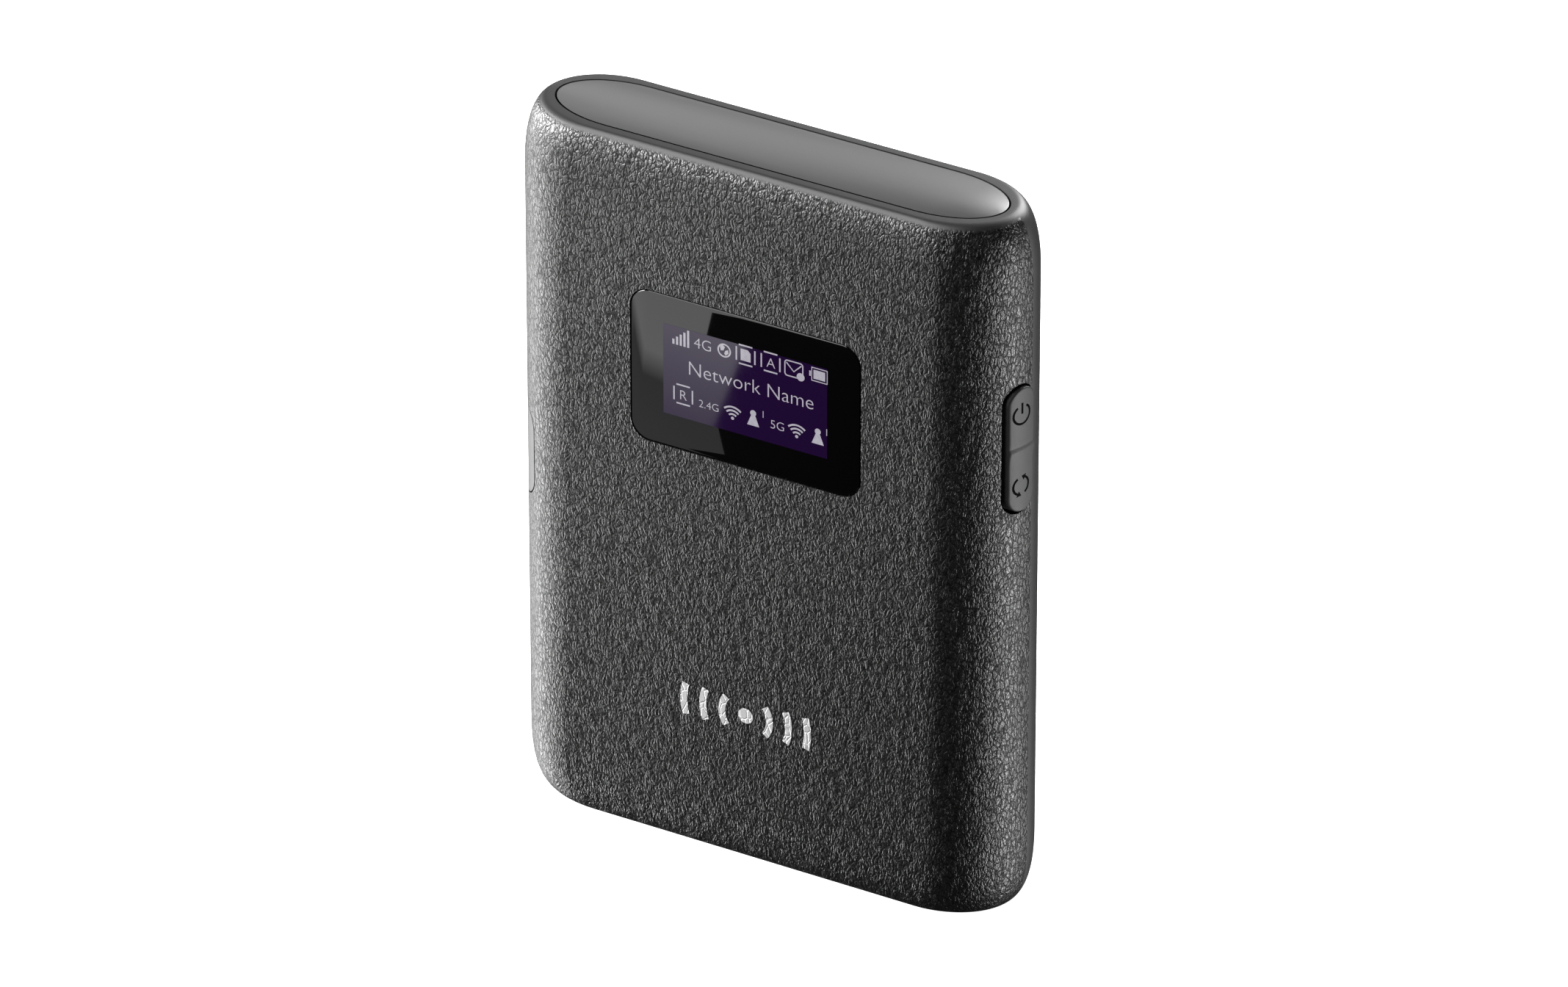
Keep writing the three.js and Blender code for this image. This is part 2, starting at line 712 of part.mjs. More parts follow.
// The strip follows the side of the case and stands a little proud of it; a ridge marks its
// middle, two ears behind the pocket's edge hold it in, and a nub behind each end reaches a switch.
function keyStrip() {
  const acrossSide = [WIDTH / 2 - 10, WIDTH / 2 + 1];
  const middleY = -KEY.depth / 2 - 0.1;
  const face = roundedRect(middleY, KEY.z, KEY.depth, KEY.length, KEY.depth / 2 - 0.1);
  const strip = skin(prismAlongX(face, ...acrossSide, 10), -KEY.proud, 2.4);
  const ridgeShape = roundedRect(middleY, KEY.z, KEY.depth - 0.5, KEY_RIDGE.height, 0.5);
  const ridge = skin(prismAlongX(ridgeShape, ...acrossSide, 5), -KEY_RIDGE.proud, 1);
  const earBlock = box(acrossSide, [-5.5, -0.3], [KEY.z - 2.2, KEY.z + 2.2]);
  const ears = skin(earBlock, COVER_WALL + 0.3, 2.8);
  const nubs = [-SWITCH_OFFSET, SWITCH_OFFSET].map((dz) =>
    box(
      [SWITCH.tip + 0.3, KEY_PIVOT_X + 0.4],
      [SWITCH.y - 0.8, SWITCH.y + 0.8],
      [KEY.z + dz - 0.9, KEY.z + dz + 0.9],
    ),
  );
  return join(strip, ridge, ears, ...nubs);
}

// The part of a shape that lies between two depths below the front half's surface.
const skin = (shape, shallow, deep) =>
  cut(common(shape, halfBody("front", shallow)), halfBody("front", deep, 1));

function switchBody(dz) {
  const z = KEY.z + dz;
  const { y, inner, outer, halfHeight, halfDepth } = SWITCH;
  return cut(
    box([inner, outer], [y - halfDepth, y + halfDepth], [z - halfHeight, z + halfHeight]),
    box([inner + 1, outer + 1], [y - 0.5, y + 0.5], [z - 0.8, z + 0.8]),
  );
}

const switchPlunger = (dz) =>
  box(
    [SWITCH.inner + 1.3, SWITCH.tip],
    [SWITCH.y - 0.4, SWITCH.y + 0.4],
    [KEY.z + dz - 0.7, KEY.z + dz + 0.7],
  );

// ---------------------------------------------------------------- port door

// A flush flap that wraps round the side of the case and turns on a bar along its rear edge.
function portDoor() {
  const flap = skin(doorSweep(DOOR.gap), 0, DOOR.thickness);
  const halfLength = DOOR.length / 2 - DOOR.gap;
  return join(
    flap,
    hingeBar(DOOR_HINGE.radius, halfLength),
    hingeBar(DOOR_HINGE.pinRadius, halfLength + 1.1),
  );
}

// ---------------------------------------------------------------- antennas

// Thin foil on the frame's front, its outline given in X and Z.
function antenna(points) {
  const shape = new THREE.Shape(points.map(([x, z]) => new THREE.Vector2(x, z)));
  return prismAlongY(shape, FRAME.front - 0.15, FRAME.front - 0.03);
}

const mainAntenna = () =>
  antenna([
    [-25, 6],
    [25, 6],
    [25, 17],
    [20, 17],
    [20, 10],
    [2, 10],
    [2, 17.5],
    [-2, 17.5],
    [-2, 10],
    [-16, 10],
    [-16, 16],
    [-25, 16],
  ]);

const diversityAntenna = () =>
  antenna([
    [-22, 89],
    [14, 89],
    [14, 88.2],
    [18, 88.2],
    [18, 91.8],
    [-22, 91.8],
  ]);

// ---------------------------------------------------------------- screws

function screw([x, z]) {
  const { head, headHeight, shank, length, seat } = SCREW;
  const slot = box([x - 1, x + 1], [seat + 0.35, seat + 2], [z - 0.18, z + 0.18]);
  const crossSlot = box([x - 0.18, x + 0.18], [seat + 0.35, seat + 2], [z - 1, z + 1]);
  return cut(
    join(
      cylinderAlongY(head, [seat, seat + headHeight], x, z, 16),
      cylinderAlongY(shank, [seat - length, seat + 0.1], x, z, 12),
    ),
    slot,
    crossSlot,
  );
}

// ---------------------------------------------------------------- assembly

const display = gather(
  piece("display_window", "blackGlass", displayWindow()),
  piece("window_adhesive", "foam", windowTape()),
  piece("display_panel", "display", displayPanel()),
  piece("display_cushion", "foam", displayCushion()),
  piece("display_flex", "polyimide", displayFlex()),
  piece("display_connector", "connectorPlastic", displayConnector()),
);

const board = gather(
  piece("main_board", "solderMask", mainBoard()),
  piece("modem_shield", "steel", shield(-24, -4, 22.5, 42)),
  piece("power_shield", "steel", shield(0, 24, 22.5, 42)),
  piece("wifi_shield", "steel", shield(-13, 13, 58.5, 80)),
  piece("usb_shell", "steel", usbShell()),
  piece("usb_tongue", "connectorPlastic", usbTongue()),
  piece("sim_socket", "connectorPlastic", simSocket()),
  piece("sim_shell", "steel", simShell()),
  piece("battery_contact_block", "connectorPlastic", contactBlock()),
  ...CONTACTS.x.map((x, i) => piece(`battery_contact_${i + 1}`, "gold", contactBlade(x))),
  piece("power_switch_body", "connectorPlastic", switchBody(SWITCH_OFFSET)),
  piece("menu_switch_body", "connectorPlastic", switchBody(-SWITCH_OFFSET)),
);

const battery = gather(
  piece("battery_cell", "batterySleeve", batteryCell()),
  piece("battery_head", "connectorPlastic", batteryHead()),
  ...CONTACTS.x.map((x, i) => piece(`battery_pad_${i + 1}`, "gold", batteryPad(x))),
);

const keys = gather(
  piece("key_strip", "keyPlastic", keyStrip()),
  piece("power_switch_plunger", "connectorPlastic", switchPlunger(SWITCH_OFFSET)),
  piece("menu_switch_plunger", "connectorPlastic", switchPlunger(-SWITCH_OFFSET)),
);

const antennas = gather(
  piece("main_antenna", "gold", mainAntenna()),
  piece("diversity_antenna", "gold", diversityAntenna()),
);

const screws = gather(
  ...Object.entries(SCREW_SPOTS).map(([place, spot]) =>
    piece(`screw_${place}`, "steel", screw(spot)),
  ),
);

const hotspot = gather(
  piece("front_cover", "leatherGrain", frontCover()),
  piece("back_cover", "satinShell", backCover()),
  piece("top_cap", "brushedCap", topCap()),
  piece("mid_frame", "framePlastic", frame()),
  piece("port_door", "doorPlastic", portDoor()),
  piece("sim_card", "cardPlastic", simCard()),
  display,
  board,
  battery,
  keys,
  antennas,
  screws,
);

// The parting plane lies in front of or behind the middle by half the covers' difference.
hotspot.position.y = (FRONT_DEPTH - BACK_DEPTH) / 2;

export default hotspot;
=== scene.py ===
"""Pocket 4G hotspot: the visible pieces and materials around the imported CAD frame."""

import math

import bmesh
import bpy
from mathutils import Matrix, Vector


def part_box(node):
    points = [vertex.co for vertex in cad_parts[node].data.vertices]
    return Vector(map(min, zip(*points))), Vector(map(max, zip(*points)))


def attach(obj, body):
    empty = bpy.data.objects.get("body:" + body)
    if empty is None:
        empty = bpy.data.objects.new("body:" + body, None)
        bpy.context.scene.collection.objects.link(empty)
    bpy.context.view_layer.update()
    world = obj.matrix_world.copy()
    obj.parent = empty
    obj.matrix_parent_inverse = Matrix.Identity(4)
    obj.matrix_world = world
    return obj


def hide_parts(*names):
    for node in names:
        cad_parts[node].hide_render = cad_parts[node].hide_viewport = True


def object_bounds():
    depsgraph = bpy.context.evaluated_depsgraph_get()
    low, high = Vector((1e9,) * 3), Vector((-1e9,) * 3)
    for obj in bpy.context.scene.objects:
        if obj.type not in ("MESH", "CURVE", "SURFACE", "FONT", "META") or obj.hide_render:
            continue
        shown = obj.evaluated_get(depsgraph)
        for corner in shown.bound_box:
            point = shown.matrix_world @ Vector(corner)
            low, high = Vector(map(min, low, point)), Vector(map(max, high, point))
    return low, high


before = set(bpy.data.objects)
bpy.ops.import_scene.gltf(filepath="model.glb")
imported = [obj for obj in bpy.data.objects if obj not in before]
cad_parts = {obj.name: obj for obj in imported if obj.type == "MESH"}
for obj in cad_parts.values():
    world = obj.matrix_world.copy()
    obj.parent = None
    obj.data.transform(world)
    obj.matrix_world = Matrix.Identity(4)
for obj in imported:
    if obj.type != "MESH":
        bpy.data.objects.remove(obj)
cad_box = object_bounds()

MM = 0.001  # lengths below are in millimetres and become metres when a mesh is made

# ---------------------------------------------------------------- driving dimensions

case_high = cad_box[1] / MM
front_low, front_high = (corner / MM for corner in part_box("front_cover"))
HEIGHT = case_high.z
HALF_WIDTH = front_high.x
PARTING_Y = front_high.y
FRONT_DEPTH = PARTING_Y - front_low.y
BACK_DEPTH = case_high.y - PARTING_Y
FRONT_CORNER = 9.6
BACK_CORNER = 8.9
WALL = 1.6

# How each half draws in towards the flat ends: the run along Z and the superellipse's power,
# then the narrowing at the side and in depth.
TOP_END = {"run": 9.2, "power": 2.33, "side": 3.1, "front": 2.25, "back": 1.66}
BOTTOM_END = {"run": 9.7, "power": 2.5, "side": 3.4, "front": 2.24, "back": 2.0}

window_low, window_high = (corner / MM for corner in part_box("display_window"))
WINDOW_CENTRE = (window_low + window_high) / 2
WINDOW_SIZE = window_high - window_low
WINDOW_RADIUS = 2.6
FACE_Y = front_low.y

# ---------------------------------------------------------------- camera

AZIMUTH, ELEVATION = math.radians(30), math.radians(30)
DISTANCE = 1572
LENS, SENSOR = 294.2, 36
FRAMING = (0.331, 0.214)  # the case's middle lies this far left of and below the frame's middle


def make_camera():
    forward = Vector((
        -math.sin(AZIMUTH) * math.cos(ELEVATION),
        math.cos(AZIMUTH) * math.cos(ELEVATION),
        -math.sin(ELEVATION),
    ))
    right = Vector((math.cos(AZIMUTH), math.sin(AZIMUTH), 0))
    up = right.cross(forward)
    middle = Vector((0, PARTING_Y, HEIGHT / 2))
    place = middle - forward * DISTANCE + right * FRAMING[0] + up * FRAMING[1]
    data = bpy.data.cameras.new("camera")
    data.lens, data.sensor_width = LENS, SENSOR
    data.clip_start, data.clip_end = 0.05, 20  # metres
    camera = bpy.data.objects.new("camera", data)
    camera.location = place * MM
    camera.rotation_mode = "QUATERNION"
    camera.rotation_quaternion = forward.to_track_quat("-Z", "Y")
    bpy.context.scene.collection.objects.link(camera)
    bpy.context.scene.camera = camera


# ---------------------------------------------------------------- mesh helpers


def link_object(name, mesh):
    obj = bpy.data.objects.new(name, mesh)
    bpy.context.scene.collection.objects.link(obj)
    return obj


def mesh_object(name, points, faces):
    mesh = bpy.data.meshes.new(name)
    mesh.from_pydata([tuple(c * MM for c in p) for p in points], [], faces)
    mesh.validate()
    built = bmesh.new()
    built.from_mesh(mesh)
    bmesh.ops.recalc_face_normals(built, faces=built.faces)
    built.to_mesh(mesh)
    built.free()
    return link_object(name, mesh)


def apply_modifiers(obj):
    graph = bpy.context.evaluated_depsgraph_get()
    mesh = bpy.data.meshes.new_from_object(obj.evaluated_get(graph))
    obj.modifiers.clear()
    obj.data = mesh
    return obj


def boolean(obj, operation, *tools):
    for tool in tools:
        modifier = obj.modifiers.new("cut", "BOOLEAN")
        modifier.operation = operation
        modifier.solver = "EXACT"
        modifier.object = tool
    apply_modifiers(obj)
    for tool in tools:
        bpy.data.objects.remove(tool)
    return obj


SMOOTH_ANGLE, BEVEL_ANGLE = math.radians(28), math.radians(35)
BROAD_DEPTH, BROAD_LENGTH = 3, 8  # how deep and how long a face has to be to count as broad


def is_broad(mesh, face):
    """Whether a face is a wide flat, whose shading stays flat up to its edges."""
    corners = [mesh.vertices[i].co for i in face.vertices]
    longest = max((a - b).length for a, b in zip(corners, corners[1:] + corners[:1]))
    return face.area > BROAD_DEPTH * MM * max(longest, BROAD_LENGTH * MM)


def smooth(obj):
    mesh = obj.data
    mesh.polygons.foreach_set("use_smooth", [not is_broad(mesh, face) for face in mesh.polygons])
    mesh.set_sharp_from_angle(angle=SMOOTH_ANGLE)
    return obj


def bevel(obj, width, segments):
    modifier = obj.modifiers.new("edge", "BEVEL")
    modifier.width = width * MM
    modifier.segments = segments
    modifier.limit_method = "ANGLE"
    modifier.angle_limit = BEVEL_ANGLE
    return apply_modifiers(obj)


def arc(cx, cy, radius, start, stop, steps, radius_y=None):
    """Points on an arc, angles in degrees, both ends included."""
    radius_y = radius if radius_y is None else radius_y
    turns = [math.radians(start + (stop - start) * i / steps) for i in range(steps + 1)]
    return [(cx + radius * math.cos(t), cy + radius_y * math.sin(t)) for t in turns]


def rounded_rect(cx, cy, width, height, radius, steps=10):
    x, y = width / 2 - radius, height / 2 - radius
    return (
        arc(cx + x, cy - y, radius, -90, 0, steps)
        + arc(cx + x, cy + y, radius, 0, 90, steps)
        + arc(cx - x, cy + y, radius, 90, 180, steps)
        + arc(cx - x, cy - y, radius, 180, 270, steps)
    )


def prism(name, outline, low, high, axis):
    """A closed prism of a 2-D outline along an axis: the outline is (x, z) along y, and so on."""
    place = {
        "x": lambda a, b, c: (c, a, b),
        "y": lambda a, b, c: (a, c, b),
        "z": lambda a, b, c: (a, b, c),
    }[axis]
    count = len(outline)
    points = [place(a, b, low) for a, b in outline] + [place(a, b, high) for a, b in outline]
    sides = [(i, (i + 1) % count, count + (i + 1) % count, count + i) for i in range(count)]
    ends = [tuple(range(count))[::-1], tuple(range(count, 2 * count))]
    return mesh_object(name, points, sides + ends)


# ---------------------------------------------------------------- outer form


def draw_in(z, end, from_top):
    """How far the outline has drawn in at height z: 0 on the straight, 1 on the flat end."""
    from_end = HEIGHT - z if from_top else z
    t = min(max(1 - from_end / end["run"], 0), 1)
    return 1 - (1 - t ** end["power"]) ** (1 / end["power"])


def section(z, half):
    """(half width, depth) of one half of the case at height z."""
    top, bottom = draw_in(z, TOP_END, True), draw_in(z, BOTTOM_END, False)
    depth = FRONT_DEPTH if half == "front" else BACK_DEPTH
    return (
        HALF_WIDTH - TOP_END["side"] * top - BOTTOM_END["side"] * bottom,
        depth - TOP_END[half] * top - BOTTOM_END[half] * bottom,
    )


def corner_of(half):
    return FRONT_CORNER if half == "front" else BACK_CORNER


def half_ring(z, half, inset, overrun, steps):
    width, depth = section(z, half)
    a, d, e = width - inset, depth - inset, corner_of(half) - inset
    right = [(a, -overrun)] if overrun else []
    right += arc(a - e, 0, e, 0, 90, steps, d)
    ring = right + [(-x, y) for x, y in reversed(right)]
    sign = -1 if half == "front" else 1
    return [(x, PARTING_Y + sign * y) for x, y in ring]


def ring_faces(rings, count):
    """Quads between successive rings of count points each."""
    faces = []
    for k in range(rings - 1):
        for i in range(count):
            j = (i + 1) % count
            faces.append((k * count + i, k * count + j, (k + 1) * count + j, (k + 1) * count + i))
    return faces


def half_body(name, half, inset=0.0, overrun=0.0, steps=36, end_steps=30):
    """One half of the case as a closed solid, drawn in by inset all round."""
    rises = [math.sin(i / end_steps * math.pi / 2) for i in range(end_steps + 1)]
    levels = [BOTTOM_END["run"] * (1 - r) for r in reversed(rises)]
    levels += [HEIGHT - TOP_END["run"] * (1 - r) for r in rises]
    scale = (HEIGHT - 2 * inset) / HEIGHT
    points = []
    for level in levels:
        ring = half_ring(level, half, inset, overrun, steps)
        points += [(x, y, inset + level * scale) for x, y in ring]
    count = len(points) // len(levels)
    faces = [tuple(range(count)), tuple(range(len(points) - count, len(points)))]
    return mesh_object(name, points, faces + ring_faces(len(levels), count))


def side_x(y, inset=0.0):
    """How far out the straight stretch's side lies at depth y, on the front half."""
    a, d, e = HALF_WIDTH - inset, FRONT_DEPTH - inset, FRONT_CORNER - inset
    share = min(max((PARTING_Y - y) / d, 0), 1)
    return a - e + e * math.sqrt(1 - share * share)



# ---------------------------------------------------------------- material helpers


class Shading:
    """A small builder for one node material."""

    def __init__(self, name):
        self.material = bpy.data.materials.new(name)
        self.material.use_nodes = True
        self.tree = self.material.node_tree
        self.tree.nodes.clear()
        self.shader = self.node("ShaderNodeBsdfPrincipled")
        output = self.node("ShaderNodeOutputMaterial")
        self.tree.links.new(self.shader.outputs["BSDF"], output.inputs["Surface"])
        place = self.node("ShaderNodeTexCoord").outputs["Object"]
        self.place = self.vector("SCALE", place, scale=1 / MM)  # millimetres

    def node(self, kind, inputs=None, **settings):
        made = self.tree.nodes.new(kind)
        for key, value in settings.items():
            setattr(made, key, value)
        for key, value in (inputs or {}).items():
            self.feed(made.inputs[key], value)
        return made

    def feed(self, socket, value):
        if isinstance(value, bpy.types.NodeSocket):
            self.tree.links.new(value, socket)
        else:
            socket.default_value = value

    def math(self, operation, a, b):
        return self.node("ShaderNodeMath", {0: a, 1: b}, operation=operation).outputs[0]

    def vector(self, operation, a, b=None, scale=None):
        made = self.node("ShaderNodeVectorMath", {0: a}, operation=operation)
        if b is not None:
            self.feed(made.inputs[1], b)
        if scale is not None:
            self.feed(made.inputs["Scale"], scale)
        return made.outputs["Value" if operation == "DOT_PRODUCT" else "Vector"]

    def ramp(self, value, low, high):
        """0 at low, 1 at high and smooth between; low may be the greater."""
        inputs = {"Value": value, "From Min": low, "From Max": high}
        made = self.node("ShaderNodeMapRange", inputs, interpolation_type="SMOOTHSTEP")
        return made.outputs["Result"]

    def stretched(self, scale, place=None):
        return self.vector("MULTIPLY", self.place if place is None else place, scale)

    def noise(self, place, scale=1.0, detail=2.0, roughness=0.5):
        inputs = {"Vector": place, "Scale": scale, "Detail": detail, "Roughness": roughness}
        return self.node("ShaderNodeTexNoise", inputs)

    def cracks(self, place):
        """Distance to the nearest border between cells."""
        inputs = {"Vector": place, "Scale": 1.0}
        made = self.node("ShaderNodeTexVoronoi", inputs, feature="DISTANCE_TO_EDGE")
        return made.outputs["Distance"]

    def mix(self, share, a, b):
        made = self.node("ShaderNodeMix", {0: share, 2: a, 3: b}, data_type="FLOAT")
        return made.outputs[0]

    def mix_colour(self, share, a, b):
        made = self.node("ShaderNodeMix", {0: share, 6: a, 7: b}, data_type="RGBA")
        return made.outputs[2]

    def bump(self, height, distance):
        inputs = {"Height": height, "Distance": distance * MM, "Strength": 1.0}
        made = self.node("ShaderNodeBump", inputs)
        self.feed(self.shader.inputs["Normal"], made.outputs["Normal"])

    def set(self, **values):
        names = {
            "colour": "Base Color",
            "roughness": "Roughness",
            "metallic": "Metallic",
            "specular": "Specular IOR Level",
            "emission": "Emission Color",
            "strength": "Emission Strength",
        }
        for key, value in values.items():
            self.feed(self.shader.inputs[names[key]], value)
        return self.material


def grey(level, blue=0.0):
    return (level, level, level * (1 + blue), 1)


# ---------------------------------------------------------------- materials


# Lumps per millimetre along X, Y and Z: the upright rows come from the smaller number for Z.
GRAIN = {
    "bend": (0.7, 0.7, 0.5),
    "creases": (1.9, 1.9, 0.85),
    "pebbles": (3.4, 3.4, 2.3),
    "fine": (5.0, 5.0, 3.5),
}
GRAIN_HEIGHT = 0.065
GRAIN_END = (0.35, 0.75)  # below the top lip: none above the first, all of it below the second


def leather_grain():
    """Moulded grain: small domed pebbles parted by fine creases, taller than wide; painted shade
    darkens the base colour in the creases.
    """
    s = Shading("leather_grain")
    shift = s.noise(s.stretched(GRAIN["bend"]), 1.0, 2.0).outputs["Color"]
    shift = s.vector("SUBTRACT", shift, (0.5, 0.5, 0.5))
    bent = s.vector("ADD", s.place, shift)
    creases = s.cracks(s.stretched(GRAIN["creases"], bent))
    pebbles = s.cracks(s.stretched(GRAIN["pebbles"], bent))
    fine = s.noise(s.stretched(GRAIN["fine"], bent), 1.0, 1.0, 0.5).outputs["Fac"]
    height = s.math("MULTIPLY", s.ramp(creases, -0.02, 0.26), 0.6)
    height = s.math("ADD", height, s.math("MULTIPLY", s.ramp(pebbles, -0.1, 0.22), 0.4))
    height = s.math("ADD", height, s.math("MULTIPLY", fine, 0.3))
    z = s.node("ShaderNodeSeparateXYZ", {"Vector": s.place}).outputs["Z"]
    grained = s.ramp(z, HEIGHT - GRAIN_END[0], HEIGHT - GRAIN_END[1])
    s.bump(s.math("MULTIPLY", height, grained), GRAIN_HEIGHT)
    # painted shade: depth darkens the base colour in the creases and between the pebbles, where shade
    # falls
    depth = s.math("MULTIPLY", s.ramp(creases, -0.03, 0.16), s.ramp(pebbles, -0.1, 0.13))
    s.set(
        colour=s.mix_colour(s.mix(grained, 1.0, depth), grey(0.006), grey(0.07)),
        roughness=s.mix(s.mix(grained, 0.3, depth), 0.5, 0.27),
        metallic=0.9,
        specular=0.1,
    )
    return s.material


def satin_shell():
    s, level, roughness = Shading("satin_shell"), 0.016, 0.42
    grain = s.noise(s.place, 7.0, 3.0, 0.6).outputs["Fac"]
    s.bump(grain, 0.006)
    return s.set(
        colour=s.mix_colour(s.noise(s.place, 0.15).outputs["Fac"], grey(level), grey(level * 1.15)),
        roughness=s.mix(grain, roughness - 0.04, roughness + 0.06),
    )


def brushed_cap():
    s = Shading("brushed_cap")
    streaks = s.noise(s.stretched((0.25, 9.0, 1.0)), 1.0, 3.0, 0.6).outputs["Fac"]
    s.bump(streaks, 0.003)
    # painted shade: the plate's sides, where the normal turns away from up, are coloured near black to
    # stand for the shade in the gap round it
    up = s.node("ShaderNodeSeparateXYZ", {"Vector": s.node("ShaderNodeTexCoord").outputs["Normal"]})
    top = s.ramp(up.outputs["Z"], 0.6, 0.9)
    return s.set(
        colour=s.mix_colour(top, grey(0.002), s.mix_colour(streaks, grey(0.15), grey(0.17))),
        metallic=0.75,
        specular=0.05,
        roughness=s.mix(streaks, 0.3, 0.36),
    )


def black_glass():
    s = Shading("black_glass")
    film = s.noise(s.place, 0.4, 2.0).outputs["Fac"]
    return s.set(colour=grey(0.0015), roughness=s.mix(film, 0.015, 0.03), specular=0.5)


def display_glow():
    s = Shading("display_glow")
    film = s.noise(s.place, 0.4, 2.0).outputs["Fac"]
    pitch = s.node("ShaderNodeTexWave", {"Vector": s.place, "Scale": 1.75}, bands_direction="Z")
    return s.set(
        colour=(0.004, 0.0015, 0.008, 1),
        roughness=s.mix(film, 0.03, 0.05),
        emission=s.mix_colour(
            pitch.outputs["Fac"], (0.0075, 0.0012, 0.019, 1), (0.0055, 0.0008, 0.0145, 1)
        ),
        strength=1.0,
    )


def display_pixels():
    s = Shading("display_pixels")
    grid = s.noise(s.place, 2.2, 2.0).outputs["Fac"]
    return s.set(
        colour=grey(0.01),
        roughness=0.04,
        emission=s.mix_colour(grid, (0.32, 0.3, 0.36, 1), (0.5, 0.48, 0.53, 1)),
        strength=1.0,
    )


def moulded(name, level, roughness=0.5, blue=0.02, grain=0.01, specular=0.5):
    s = Shading(name)
    pits = s.noise(s.place, 6.0, 3.0, 0.65).outputs["Fac"]
    s.bump(pits, grain)
    return s.set(
        colour=s.mix_colour(pits, grey(level * 0.9, blue), grey(level * 1.1, blue)),
        roughness=s.mix(pits, roughness - 0.05, roughness + 0.07),
        specular=specular,
    )


def printed_silver():
    s = Shading("printed_silver")
    flecks = s.noise(s.place, 4.0, 3.0, 0.7).outputs["Fac"]
    worn = s.ramp(s.cracks(s.stretched((1.3, 1.3, 0.8))), 0.0, 0.1)
    s.bump(worn, 0.05)
    return s.set(
        colour=s.mix_colour(flecks, grey(0.33), grey(0.62)),
        metallic=0.35,
        roughness=0.45,
    )


def steel():
    s = Shading("drawn_steel")
    grain = s.noise(s.stretched((1.0, 1.0, 14.0)), 1.0, 3.0, 0.6).outputs["Fac"]
    s.bump(grain, 0.003)
    return s.set(
        colour=s.mix_colour(grain, grey(0.48), grey(0.58)),
        metallic=1.0,
        roughness=s.mix(grain, 0.28, 0.4),
    )


def gold():
    s = Shading("gold_plate")
    grain = s.noise(s.place, 5.0, 2.0).outputs["Fac"]
    return s.set(
        colour=s.mix_colour(grain, (0.72, 0.44, 0.12, 1), (0.82, 0.55, 0.2, 1)),
        metallic=1.0,
        roughness=s.mix(grain, 0.22, 0.34),
    )


def board_lacquer():
    s = Shading("board_lacquer")
    tracks = s.ramp(s.cracks(s.stretched((0.9, 0.9, 0.9))), 0.0, 0.05)
    s.bump(tracks, 0.02)
    return s.set(
        colour=s.mix_colour(tracks, (0.012, 0.09, 0.05, 1), (0.006, 0.05, 0.03, 1)),
        roughness=0.3,
    )


def film(name, colour, roughness=0.35):
    s = Shading(name)
    crinkle = s.noise(s.place, 0.8, 3.0).outputs["Fac"]
    s.bump(crinkle, 0.02)
    darker = tuple(c * 0.8 for c in colour[:3]) + (1,)
    return s.set(
        colour=s.mix_colour(crinkle, darker, colour),
        roughness=s.mix(crinkle, roughness - 0.08, roughness + 0.08),
    )


# ---------------------------------------------------------------- the pieces


def place_piece(obj, body, material, slot, *nodes):
    obj.data.materials.clear()
    obj.data.materials.append(material)
    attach(obj, body)
    if nodes:
        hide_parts(*nodes)
    return obj


def cap_oval(grow=0.0):
    low, high = (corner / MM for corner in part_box("top_cap"))
    half_length, half_depth = high.x + grow, (high.y - low.y) / 2 + grow
    end = 9.6 + grow
    middle = (low.y + high.y) / 2
    return arc(half_length - end, middle, end, -90, 90, 40, half_depth) + arc(
        end - half_length, middle, end, 90, 270, 40, half_depth
    )


def shell(name, half):
    outer = half_body(name, half)
    inner = half_body("inner", half, WALL, overrun=1, steps=14, end_steps=10)
    opening = prism("opening", cap_oval(0.25), HEIGHT - 4, HEIGHT + 1, "z")
    return boolean(outer, "DIFFERENCE", inner, opening)


def window_outline(grow):
    return rounded_rect(
        WINDOW_CENTRE.x,
        WINDOW_CENTRE.z,
        WINDOW_SIZE.x + 2 * grow,
        WINDOW_SIZE.z + 2 * grow,
        WINDOW_RADIUS + grow,
    )


KEY = {
    "z": 66.0,
    "length": 17.1,
    "depth": 4.2,
    "proud": 0.45,
    "pocket_length": 17.9,
    "pocket_depth": 4.75,
}


def key_pocket():
    outline = rounded_rect(
        PARTING_Y - KEY["pocket_depth"] / 2,
        KEY["z"],
        KEY["pocket_depth"],
        KEY["pocket_length"],
        KEY["pocket_depth"] / 2 - 0.01,
        16,
    )
    return prism("pocket", outline, 28, 36, "x")


DOOR = {"z": 48.4, "length": 12.8, "reach": 6.75, "corner": 3.0, "thickness": 1.0, "gap": 0.2}
HINGE = {"x": -34.05, "y": PARTING_Y - 1, "radius": 0.85, "pin": 0.45}


TURN_STEPS = 120


def turned(name, profile, x, y):
    """A solid of revolution about an upright line through (x, y); the profile is (radius, z)."""
    inner, steps = profile[1:-1], TURN_STEPS
    points = [(x, y, profile[0][1]), (x, y, profile[-1][1])]
    for k in range(steps):
        turn = 2 * math.pi * k / steps
        points += [(x + r * math.cos(turn), y + r * math.sin(turn), z) for r, z in inner]
    faces, count = [], len(inner)
    for k in range(steps):
        a, b = 2 + k * count, 2 + (k + 1) % steps * count
        faces.append((0, b, a))
        faces.append((1, a + count - 1, b + count - 1))
        faces += [(a + i, b + i, b + i + 1, a + i + 1) for i in range(count - 1)]
    return mesh_object(name, points, faces)


def door_sweep(inset):
    """The space that the door sweeps, in front of its hinge line."""
    half = DOOR["length"] / 2 - inset
    reach, corner = DOOR["reach"] - inset, DOOR["corner"] - inset
    profile = [(0, -half)]
    profile += arc(reach - corner, corner - half, corner, -90, 0, 12)
    profile += arc(reach - corner, half - corner, corner, 0, 90, 12)
    profile += [(0, half)]
    profile = [(r, DOOR["z"] + z) for r, z in profile]
    swept = turned("sweep", profile, HINGE["x"], HINGE["y"])
    front = box_object("front", (-40, -9.5, DOOR["z"] - 9), (-25, HINGE["y"], DOOR["z"] + 9))
    return boolean(swept, "INTERSECT", front)


